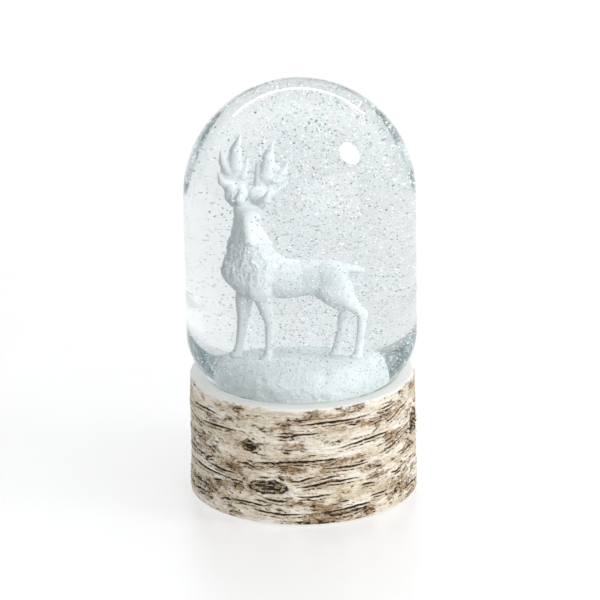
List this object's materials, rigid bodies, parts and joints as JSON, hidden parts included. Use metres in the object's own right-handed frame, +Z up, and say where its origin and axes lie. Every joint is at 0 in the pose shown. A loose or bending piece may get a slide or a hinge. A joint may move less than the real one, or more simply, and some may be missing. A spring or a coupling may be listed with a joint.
{
  "type": "snow globe",
  "caption": "Water-filled capsule-shaped glass snow globe with a standing stag on a snow mound, drifting flakes and a round birch-bark base.",
  "frame": {"origin": "centre of the underside, on the surface that the globe stands on", "axes": "+Z up through the glass, front towards -Y, the stag's chest towards -X"},
  "size_m": [0.1, 0.1, 0.1843],
  "materials": {
    "clear_glass": "clear, polished",
    "clear_liquid": "clear water and glycol",
    "flakes": "pearl film",
    "white_resin": "matt white painted cast resin",
    "steel_wire": "drawn",
    "snow_resin": "matt, glittered",
    "stopper_rubber": "moulded, matt",
    "sealing_compound": "cured bead",
    "birch_resin": "cast birch bark, cream paint with brown wash",
    "hardboard": "pressed board",
    "felt": "pressed felt"
  },
  "bodies": {
    "root": {"glass_globe": "clear_glass", "liquid_fill": "clear_liquid", "floating_flakes": "flakes", "settled_flakes": "flakes", "deer_body": "white_resin", "antler_left": "white_resin", "antler_right": "white_resin", "leg_pins": "steel_wire", "snow_mound": "snow_resin", "rubber_stopper": "stopper_rubber", "fill_plug": "stopper_rubber", "stopper_sealant": "sealing_compound", "neck_adhesive": "sealing_compound", "base_shell": "birch_resin", "bottom_cover": "hardboard", "felt_pad": "felt"}
  },
  "joints": []
}
